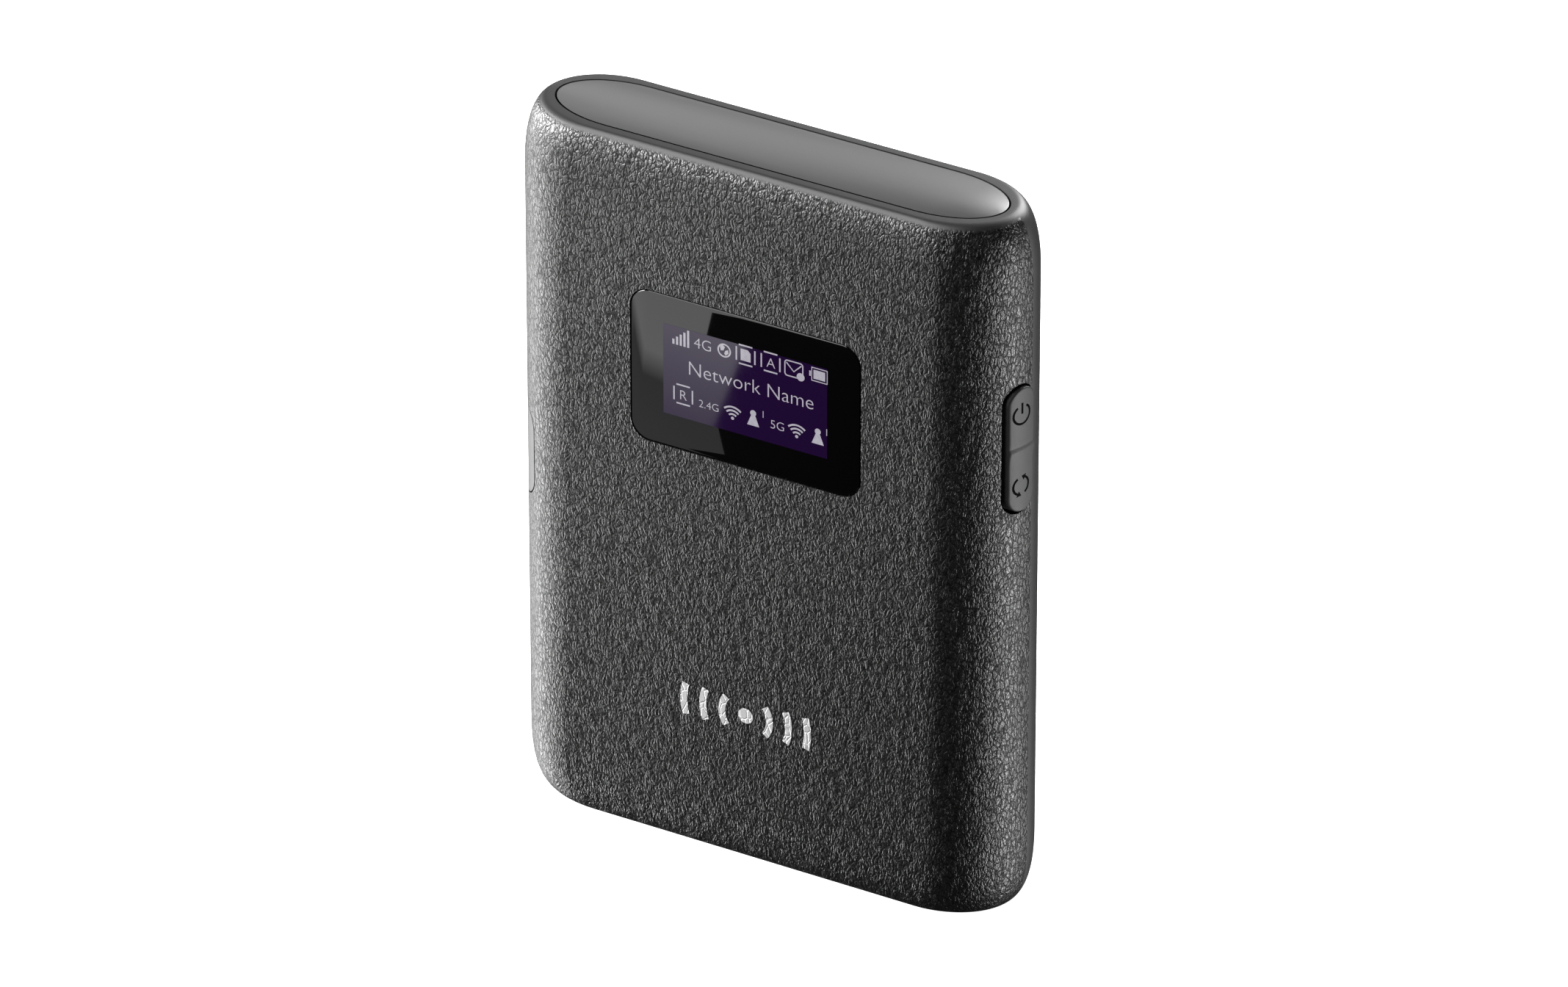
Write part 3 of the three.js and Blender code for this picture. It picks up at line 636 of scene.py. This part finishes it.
def box_object(name, low, high):
    outline = [(low[0], low[1]), (high[0], low[1]), (high[0], high[1]), (low[0], high[1])]
    return prism(name, outline, low[2], high[2], "z")


def hinge_bar(radius, half_length):
    outline = arc(HINGE["x"], HINGE["y"], radius, 0, 345, 23)
    return prism("bar", outline, DOOR["z"] - half_length, DOOR["z"] + half_length, "z")


def front_cover():
    cover = shell("front_cover_shell", "front")
    seat = prism("seat", window_outline(0.15), FACE_Y - 1, FACE_Y + 1.1, "y")
    opening = rounded_rect(0, WINDOW_CENTRE.z, 27.6, 19.2, 0.8)
    behind = prism("behind", opening, FACE_Y - 1, FACE_Y + 3, "y")
    recess = boolean(
        door_sweep(0),
        "DIFFERENCE",
        half_body("floor", "front", DOOR["thickness"] + 0.1, overrun=1, end_steps=8),
    )
    bars = [
        hinge_bar(HINGE["radius"] + 0.15, DOOR["length"] / 2),
        hinge_bar(HINGE["pin"] + 0.15, DOOR["length"] / 2 + 1.2),
    ]
    usb_low, usb_high = (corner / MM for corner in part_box("usb_shell"))
    gap = 0.3
    port = box_object(
        "port",
        (-HALF_WIDTH, usb_low.y - gap, usb_low.z - gap),
        (-28, usb_high.y + gap, usb_high.z + gap),
    )
    half = DOOR["length"] / 2
    low, high = (-36, HINGE["y"], DOOR["z"] - half), (HINGE["x"], PARTING_Y + 1, DOOR["z"] + half)
    root = box_object("root", low, high)
    boolean(cover, "DIFFERENCE", seat, behind, key_pocket(), recess, root, *bars, port)
    return smooth(cover)


def back_cover():
    cover = shell("back_cover_shell", "back")
    tabs = []
    for side, z in ((-1, 24), (-1, 78), (1, 30), (1, 80)):
        xs = sorted((side * (HALF_WIDTH - 3.2), side * (HALF_WIDTH - WALL / 2)))
        low = (xs[0], PARTING_Y + 0.5, z - 2.5)
        tabs.append(box_object("tab", low, (xs[1], PARTING_Y + 4.4, z + 2.5)))
    for tab in tabs:
        boolean(tab, "INTERSECT", half_body("inside", "back", WALL / 2, steps=14, end_steps=8))
    return smooth(boolean(cover, "UNION", *tabs))


def top_cap():
    low, high = (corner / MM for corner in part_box("top_cap"))
    plate = prism("top_cap_plate", cap_oval(), HEIGHT - 1.4, HEIGHT, "z")
    pegs = [prism("peg", arc(x, PARTING_Y, 1, 0, 345, 23), low.z, HEIGHT - 1, "z") for x in (-18, 18)]
    return smooth(bevel(boolean(plate, "UNION", *pegs), 0.04, 2))


def port_door():
    flap = boolean(
        door_sweep(DOOR["gap"]),
        "INTERSECT",
        half_body("outer", "front", end_steps=8),
    )
    inner = half_body("inner", "front", DOOR["thickness"], overrun=1, end_steps=8)
    boolean(flap, "DIFFERENCE", inner)
    half = DOOR["length"] / 2 - DOOR["gap"]
    boolean(flap, "UNION", hinge_bar(HINGE["radius"], half), hinge_bar(HINGE["pin"], half + 1.1))
    flap.name = "port_door_flap"
    return smooth(flap)


def display_window():
    window = prism("display_window_glass", window_outline(0), FACE_Y, window_high.y, "y")
    return smooth(bevel(window, 0.14, 3))


def joined(name, parts):
    """Several closed meshes as one object; parts are (points in metres, faces)."""
    points, faces = [], []
    for part_points, part_faces in parts:
        start = len(points)
        points += part_points
        faces += [tuple(start + i for i in face) for face in part_faces]
    mesh = bpy.data.meshes.new(name)
    mesh.from_pydata(points, [], faces)
    built = bmesh.new()
    built.from_mesh(mesh)
    bmesh.ops.recalc_face_normals(built, faces=built.faces)
    built.to_mesh(mesh)
    built.free()
    return link_object(name, mesh)


def slab(outline, put, thickness):
    """A thin closed plate: put(a, b, height) places a point of the flat outline."""
    count = len(outline)
    points = [put(a, b, 0) for a, b in outline] + [put(a, b, thickness) for a, b in outline]
    sides = [(i, (i + 1) % count, count + (i + 1) % count, count + i) for i in range(count)]
    return points, sides + [tuple(range(count))[::-1], tuple(range(count, 2 * count))]


def stroke(path, width, put, thickness, closed=False):
    """A line of the given width along a path, as a closed strip."""
    count = len(path)
    left, right = [], []
    for i, (a, b) in enumerate(path):
        before = path[i - 1] if i or closed else path[0]
        after = path[(i + 1) % count] if i < count - 1 or closed else path[-1]
        da, db = after[0] - before[0], after[1] - before[1]
        size = math.hypot(da, db) * 2 / width
        left.append((a - db / size, b + da / size))
        right.append((a + db / size, b - da / size))
    rows = [[put(a, b, h) for a, b in side] for h in (0, thickness) for side in (left, right)]
    points = [p for row in rows for p in row]
    lower_left, lower_right, upper_left, upper_right = (k * count for k in range(4))
    faces = []
    for i in range(count if closed else count - 1):
        j = (i + 1) % count
        for one, two in (
            (lower_left, lower_right),
            (upper_right, upper_left),
            (lower_right, upper_right),
            (upper_left, lower_left),
        ):
            faces.append((one + i, one + j, two + j, two + i))
    if not closed:
        for i in (0, count - 1):
            faces.append((lower_left + i, lower_right + i, upper_right + i, upper_left + i))
    return points, faces


# ---------------------------------------------------------------- the lit display

SCREEN = {"width": 23.0, "height": 12.5, "z": 67.45}


def on_screen(a, b, height):
    """A point a from the screen's left edge and b from its lower edge, on the window's face."""
    x, z = a - SCREEN["width"] / 2, b + SCREEN["z"] - SCREEN["height"] / 2
    return (x * MM, (FACE_Y - 0.02 - height) * MM, z * MM)


INK = 0.012  # thickness of the lit marks


def rect(a0, b0, a1, b1):
    return [(a0, b0), (a1, b0), (a1, b1), (a0, b1)]


def lettering(text, a, b, size):
    data = bpy.data.curves.new("letters", "FONT")
    data.body, data.size, data.extrude = text, size * MM, INK / 2 * MM
    data.offset = -0.012 * size * MM
    obj = link_object("letters", data)
    mesh = bpy.data.meshes.new_from_object(obj.evaluated_get(bpy.context.evaluated_depsgraph_get()))
    origin = Vector(on_screen(a, b, INK / 2))
    mesh.transform(Matrix.Translation(origin) @ Matrix.Rotation(math.pi / 2, 4, "X"))
    part = ([tuple(v.co) for v in mesh.vertices], [tuple(f.vertices) for f in mesh.polygons])
    bpy.data.objects.remove(obj)
    return part


def signal_bars(a, b):
    return [
        slab(rect(a + 0.52 * i, b, a + 0.52 * i + 0.3, b + 0.7 + 0.42 * i), on_screen, INK)
        for i in range(5)
    ]


def framed(a, b, width, height):
    """A box with open corners, drawn as four short lines."""
    cut, line = 0.35, 0.2
    runs = [
        [(a + cut, b), (a + width - cut, b)],
        [(a + cut, b + height), (a + width - cut, b + height)],
        [(a, b + cut), (a, b + height - cut)],
        [(a + width, b + cut), (a + width, b + height - cut)],
    ]
    return [stroke(run, line, on_screen, INK) for run in runs]


def globe(a, b, radius):
    ring = arc(a, b, radius, 0, 348, 29)
    lands = [
        [(a - 0.6, b + 0.5), (a - 0.5, b - 0.1), (a - 0.1, b), (a + 0.1, b + 0.5), (a - 0.2, b + 0.75)],
        [(a + 0.2, b - 0.65), (a + 0.6, b - 0.3), (a + 0.55, b + 0.2), (a + 0.15, b), (a, b - 0.4)],
    ]
    return [stroke(ring, 0.2, on_screen, INK, closed=True)] + [slab(x, on_screen, INK) for x in lands]


def envelope(a, b, width, height):
    outline = rounded_rect(a + width / 2, b + height / 2, width, height, 0.35, 4)
    flap = [(a + 0.2, b + height - 0.3), (a + width / 2, b + 0.75), (a + width - 0.2, b + height - 0.3)]
    badge = arc(a + width - 0.3, b + 0.25, 0.55, 0, 345, 23)
    return [
        stroke(outline, 0.16, on_screen, INK, closed=True),
        stroke(flap, 0.16, on_screen, INK),
        slab(badge, on_screen, INK * 1.5),
    ]


def battery_symbol(a, b, width, height):
    outline = rect(a + 0.35, b, a + width, b + height)
    return [
        stroke(outline, 0.16, on_screen, INK, closed=True),
        slab(rect(a, b + height * 0.3, a + 0.22, b + height * 0.7), on_screen, INK),
        slab(rect(a + 0.6, b + 0.28, a + width - 0.28, b + height - 0.28), on_screen, INK),
    ]


def waves(a, b):
    """Three arcs over a dot."""
    arcs = [stroke(arc(a, b, r, 48, 132, 10), 0.24, on_screen, INK) for r in (0.75, 1.25, 1.75)]
    return arcs + [slab(arc(a, b + 0.18, 0.22, 0, 330, 11), on_screen, INK)]


def person(a, b):
    head = arc(a, b + 1.75, 0.42, 0, 345, 23)
    body = [(a - 0.85, b), (a + 0.85, b), (a + 0.3, b + 1.4), (a - 0.3, b + 1.4)]
    return [slab(head, on_screen, INK), slab(body, on_screen, INK)]


def display_symbols():
    parts = signal_bars(1.3, 10.0)
    parts += [lettering("4G", 4.3, 10.3, 2.1), lettering("Network Name", 3.4, 6.3, 2.75)]
    parts += globe(8.6, 11.05, 0.85)
    parts += framed(10.3, 9.9, 2.6, 2.6) + framed(13.8, 9.9, 2.6, 2.6) + framed(1.5, 1.9, 2.6, 2.6)
    parts += [lettering("A", 14.5, 10.5, 1.9), lettering("R", 2.2, 2.5, 1.9)]
    card = [(10.9, 10.4), (12.3, 10.4), (12.3, 11.6), (11.9, 12.0), (10.9, 12.0)]
    parts += [slab(card, on_screen, INK)]
    parts += envelope(17.1, 10.1, 2.5, 2.1) + battery_symbol(20.5, 10.4, 2.5, 1.8)
    parts += [lettering("2.4G", 4.95, 2.2, 1.5), lettering("5G", 15.0, 2.1, 1.7)]
    parts += waves(9.75, 1.75) + person(12.65, 1.7) + waves(18.75, 1.75) + person(21.7, 1.7)
    parts += [lettering("1", 13.7, 3.2, 1.4), lettering("1", 22.6, 3.2, 1.4)]
    return joined("display_symbols", parts)


def display_glow_plate():
    outline = rect(0, 0, SCREEN["width"], SCREEN["height"])
    put = lambda a, b, height: on_screen(a, b, height - 0.015)
    return joined("display_lit_area", [slab(outline, put, 0.012)])


# ---------------------------------------------------------------- the printed mark


def front_mark():
    """A generic broadcast symbol, a dot between nested arcs, printed over the grain."""
    put = lambda a, b, height: (a * MM, (FACE_Y - height) * MM, (b + 21.4) * MM)
    parts = [slab(arc(0, 0, 1.05, 0, 348, 29), put, 0.03)]
    for radius, half_angle in ((3.4, 36), (6.1, 21), (8.8, 14.5)):
        for middle in (0, 180):
            path = arc(0, 0, radius, middle - half_angle, middle + half_angle, 16)
            parts.append(stroke(path, 1.0, put, 0.03))
    return joined("front_mark_print", parts)


# ---------------------------------------------------------------- side key

KEY_MIDDLE_Y = PARTING_Y - KEY["depth"] / 2 - 0.1
SWITCH_OFFSET = 4.9  # each switch from the key's middle, along Z


RIDGE = {"top": 0.55, "dip": 0.03, "dip_run": 0.3, "height": 0.22, "rise": 0.55, "fall": 1.2}


def ridge(z):
    """How far the key's middle ridge stands out: a shallow dip, a short rise and a long fall."""
    below = KEY["z"] + RIDGE["top"] - z
    if below < 0:
        return -RIDGE["dip"] * math.exp(-((below / RIDGE["dip_run"]) ** 2))
    fall = math.exp(-((below / RIDGE["fall"]) ** 2))
    return -RIDGE["dip"] + RIDGE["height"] * min(1, below / RIDGE["rise"]) * fall


def on_key(a, b, height):
    """A point of the key's face: a along Y from its middle, b along Z from the key's middle."""
    y, z = KEY_MIDDLE_Y + a, KEY["z"] + b
    return (side_x(y, -KEY["proud"]) + height + ridge(z), y, z)


END_STEPS, SIDE_STEPS = 24, 150


def key_outline(inset):
    """The strip's outline, up its rear side and down its front side."""
    half, radius = KEY["length"] / 2 - KEY["depth"] / 2, KEY["depth"] / 2 - inset
    rise = [half - 2 * half * i / SIDE_STEPS for i in range(1, SIDE_STEPS)]
    right = arc(0, -half, radius, 180, 360, END_STEPS) + [(radius, -r) for r in rise]
    left = arc(0, half, radius, 0, 180, END_STEPS) + [(-radius, r) for r in rise]
    return right + left


def key_strip():
    """The strip: rings from its foot over a rounded edge to its middle line."""
    rounding, radius = 0.22, KEY["depth"] / 2
    rings = [(0.0, -2.4), (0.0, -rounding)]
    for i in range(1, 6):
        turn = i / 5 * math.pi / 2
        rings.append((rounding * (1 - math.cos(turn)), rounding * (math.sin(turn) - 1)))
    steps = 7
    rings += [(rounding + (radius - 0.02 - rounding) * i / steps, 0.0) for i in range(1, steps + 1)]
    points = []
    for inset, height in rings:
        for a, b in key_outline(inset):
            x, y, z = on_key(a, b, 0)
            points.append((x + height, y, z))
    count = len(points) // len(rings)
    faces = [tuple(range(count))] + ring_faces(len(rings), count)
    top = len(points) - count
    rear = top + END_STEPS + 1  # first point of the rear side, opposite the last of the front
    front = top + count - 1
    for i in range(SIDE_STEPS - 2):
        faces.append((rear + i, rear + i + 1, front - i - 1, front - i))
    faces.append(tuple(range(top, rear + 1)) + (front,))
    faces.append(tuple(range(rear + SIDE_STEPS - 2, front - SIDE_STEPS + 3)))
    strip = mesh_object("key_strip_face", points, faces)
    ears = box_object("ears", (30.2, PARTING_Y - 5.5, 63.8), (33.2, PARTING_Y - 0.3, 68.2))
    inner = half_body("inner", "front", WALL + 0.3, steps=20, end_steps=8)
    deep = half_body("deep", "front", 2.8, overrun=1, steps=20, end_steps=8)
    boolean(boolean(ears, "INTERSECT", inner), "DIFFERENCE", deep)
    nubs = [
        box_object("nub", (31.0, PARTING_Y - 3.9, z - 0.9), (32.9, PARTING_Y - 2.3, z + 0.9))
        for z in (KEY["z"] - SWITCH_OFFSET, KEY["z"] + SWITCH_OFFSET)
    ]
    return smooth(boolean(strip, "UNION", ears, *nubs))


def key_symbols():
    put = lambda a, b, height: tuple(c * MM for c in on_key(a - 0.3, b, height + 0.004))
    ink, line = 0.012, 0.3
    power, cycle = 5.0, -4.9  # the symbols' middles, along Z
    parts = [stroke(arc(0, power, 1.28, 122, 418, 40), line, put, ink)]
    bar = [(0, power + 0.1 + 1.5 * i / 6) for i in range(7)]
    parts.append(stroke(bar, line, put, ink))
    for turn in (0, 180):
        path = arc(0, cycle, 1.2, turn - 62, turn + 62, 24)
        parts.append(stroke(path, line, put, ink))
        tip = math.radians(turn + 62)
        along, out = (-math.sin(tip), math.cos(tip)), (math.cos(tip), math.sin(tip))
        root = (1.2 * out[0], cycle + 1.2 * out[1])
        head = [
            (root[0] + 0.42 * out[0], root[1] + 0.42 * out[1]),
            (root[0] + 0.62 * along[0], root[1] + 0.62 * along[1]),
            (root[0] - 0.42 * out[0], root[1] - 0.42 * out[1]),
        ]
        parts.append(slab(head, put, ink))
    return joined("key_symbols", parts)


# ---------------------------------------------------------------- floor and light


FLOOR_REACH, FLOOR_Z = 3000, -0.05


def make_floor():
    reach = FLOOR_REACH
    corners = [(-reach, -reach), (reach, -reach), (reach, reach), (-reach, reach)]
    floor = mesh_object("floor", [(x, y, FLOOR_Z) for x, y in corners], [(0, 1, 2, 3)])
    s = Shading("floor_paint")
    s.set(
        colour=s.mix_colour(s.noise(s.place, 0.002).outputs["Fac"], grey(0.8), grey(0.82)),
        roughness=0.9,
        specular=0.0,
        emission=(1, 1, 1, 1),
        strength=1.0,
    )
    floor.data.materials.append(s.material)
    floor.visible_glossy = floor.visible_diffuse = floor.visible_shadow = False


def make_world():
    """A dark world: all the light comes from the soft boxes."""
    world = bpy.data.worlds.new("studio")
    world.use_nodes = True
    background = world.node_tree.nodes["Background"]
    background.inputs["Color"].default_value = (1, 1, 1, 1)
    background.inputs["Strength"].default_value = 0.0
    bpy.context.scene.world = world


def soft_box(name, azimuth, elevation, distance, width, height, radiance):
    """An area light seen from the case's middle at an azimuth (0 in front, 90 to the right)."""
    turn, rise = math.radians(azimuth), math.radians(elevation)
    away = Vector((
        math.sin(turn) * math.cos(rise),
        -math.cos(turn) * math.cos(rise),
        math.sin(rise),
    ))
    target = Vector((0, 0, HEIGHT / 2))
    data = bpy.data.lights.new(name, "AREA")
    data.shape = "RECTANGLE"
    data.size, data.size_y = width * MM, height * MM
    data.energy = radiance * math.pi * width * height * MM * MM
    light = bpy.data.objects.new(name, data)
    light.location = (target + away * distance) * MM
    light.rotation_mode = "QUATERNION"
    light.rotation_quaternion = away.to_track_quat("Z", "Y")
    bpy.context.scene.collection.objects.link(light)
    return light


STUDIO = {
    # name: azimuth, elevation, distance, width, height, radiance
    "left_strip": (-80, -20, 260, 80, 300, 12),
    "left_back": (-103, -20, 260, 90, 300, 4),
    "left_corner": (-95, 14, 280, 80, 80, 40),
    "left_high": (-75, 25, 280, 140, 130, 27),
    "front_high": (-42, 22, 300, 150, 130, 15),
    "overhead": (-45, 62, 300, 240, 160, 5),
    "right_strip": (100, -22, 300, 90, 320, 12),
    "right_edge": (74, -24, 300, 40, 320, 3),
    "right_back": (128, -20, 300, 130, 320, 2),
    "back_right_high": (170, 33, 300, 160, 160, 14),
    "back_left_high": (-152, 32, 300, 180, 160, 1),
}


def mirrored(point, distance):
    """Where the camera's ray to a point on the window lands, mirrored, after that distance."""
    camera = bpy.context.scene.camera.location / MM
    ray = (point - camera).normalized()
    return point + Vector((ray.x, -ray.y, ray.z)) * distance


CARD = {
    "diagonal": ((1.46, 77.9), (-5.9, 56.75)),  # (x, z) of its mirrored edge's ends on the window
    "distance": 190,
    "size": (150, 190),
    "raised": 35,
    "fade": (0.262, 0.37),  # shares of its height between which it brightens
    "radiance": (0.5, 2.2),
}


def window_card():
    """The card whose slanting edge shows as a diagonal in the display window."""
    top, bottom = (Vector((x, FACE_Y, z)) for x, z in CARD["diagonal"])
    upper, lower = mirrored(top, CARD["distance"]), mirrored(bottom, CARD["distance"])
    away = ((upper + lower) / 2 - (top + bottom) / 2).normalized()
    edge = upper - lower
    edge = (edge - away * edge.dot(away)).normalized()
    right = edge.cross(away)
    size = CARD["size"]
    middle = (upper + lower) / 2 - right * size[0] / 2 + edge * CARD["raised"]
    data = bpy.data.lights.new("window_card", "AREA")
    data.shape = "RECTANGLE"
    data.size, data.size_y = size[0] * MM, size[1] * MM
    data.energy = math.pi * size[0] * size[1] * MM * MM
    data.use_nodes = True
    tree = data.node_tree
    across = tree.nodes.new("ShaderNodeSeparateXYZ")
    tree.links.new(tree.nodes.new("ShaderNodeNewGeometry").outputs["Parametric"], across.inputs[0])
    fade = tree.nodes.new("ShaderNodeMapRange")
    fade.inputs["From Min"].default_value, fade.inputs["From Max"].default_value = CARD["fade"]
    fade.inputs["To Min"].default_value, fade.inputs["To Max"].default_value = CARD["radiance"]
    tree.links.new(across.outputs["Y"], fade.inputs["Value"])
    tree.links.new(fade.outputs["Result"], tree.nodes["Emission"].inputs["Strength"])
    light = bpy.data.objects.new("window_card", data)
    light.location = middle * MM
    light.rotation_mode = "QUATERNION"
    light.rotation_quaternion = Matrix((right, edge, away)).transposed().to_quaternion()
    bpy.context.scene.collection.objects.link(light)
    return light


def make_lights():
    make_world()
    window_card()
    for name, settings in STUDIO.items():
        soft_box(name, *settings)


# ---------------------------------------------------------------- assembly


def finish_cad_pieces():
    """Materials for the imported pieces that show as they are."""
    shared = {
        "frame": moulded("frame_plastic", 0.012, 0.55),
        "dark": moulded("connector_plastic", 0.012, 0.45),
        "steel": steel(),
        "gold": gold(),
        "board": board_lacquer(),
        "amber": film("polyimide", (0.42, 0.17, 0.03, 1)),
        "sleeve": film("battery_sleeve", (0.03, 0.032, 0.038, 1), 0.42),
        "card": film("card_plastic", (0.78, 0.78, 0.8, 1), 0.45),
        "foam": moulded("foam", 0.008, 0.85, 0.0, 0.05),
        "panel": film("panel_glass", (0.012, 0.01, 0.02, 1), 0.12),
    }
    look = {
        "mid_frame": "frame", "main_board": "board", "display_flex": "amber",
        "display_panel": "panel", "display_cushion": "foam", "window_adhesive": "foam",
        "battery_cell": "sleeve", "sim_card": "card",
    }
    steel_words = ("shield", "shell", "screw")
    gold_words = ("antenna", "pad", "contact_1", "contact_2", "contact_3")
    for name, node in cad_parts.items():
        key = look.get(name)
        if key is None:
            key = "dark"
            key = "steel" if any(word in name for word in steel_words) else key
            key = "gold" if any(word in name for word in gold_words) else key
        node.data.materials.clear()
        node.data.materials.append(shared[key])


bpy.context.scene.view_settings.view_transform = "Standard"
make_camera()
finish_cad_pieces()
place_piece(front_cover(), "chassis", leather_grain(), "leather_grain", "front_cover")
place_piece(back_cover(), "back_cover", satin_shell(), "satin_shell", "back_cover")
place_piece(top_cap(), "chassis", brushed_cap(), "brushed_cap", "top_cap")
place_piece(port_door(), "port_door", moulded("door_plastic", 0.009, 0.5), "door_plastic", "port_door")
place_piece(display_window(), "chassis", black_glass(), "black_glass", "display_window")
place_piece(display_glow_plate(), "chassis", display_glow(), "display")
place_piece(display_symbols(), "chassis", display_pixels(), "display")
place_piece(front_mark(), "chassis", printed_silver(), "steel")
key_plastic = moulded("key_plastic", 0.022, 0.5, specular=0.35)
key_ink = moulded("key_ink", 0.001, 0.7, 0.0, 0.002, specular=0.02)
place_piece(key_strip(), "key_strip", key_plastic, "key_plastic", "key_strip")
place_piece(key_symbols(), "key_strip", key_ink, "connector_plastic")
make_floor()
make_lights()
